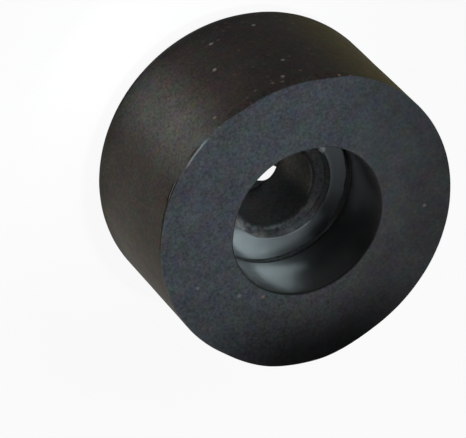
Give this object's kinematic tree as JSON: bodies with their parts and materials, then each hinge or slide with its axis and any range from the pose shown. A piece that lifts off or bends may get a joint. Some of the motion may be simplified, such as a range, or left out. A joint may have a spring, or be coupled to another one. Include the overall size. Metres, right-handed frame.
{
  "type": "screw-on rubber foot",
  "caption": "Round rubber foot with a counterbored screw hole and a moulded-in steel washer that takes the screw head.",
  "frame": {"origin": "centre of the mounting face, on the axis of the screw hole", "axes": "+Z along the axis from the mounting face to the counterbored floor face; X and Y are any two directions across it"},
  "size_m": [0.0254, 0.0254, 0.0143],
  "materials": {
    "rubber": "matte moulded black rubber with a faint bluish bloom",
    "washer_steel": "satin zinc-plated steel"
  },
  "bodies": {
    "root": {"rubber_body": "rubber", "steel_washer": "washer_steel"}
  },
  "joints": []
}
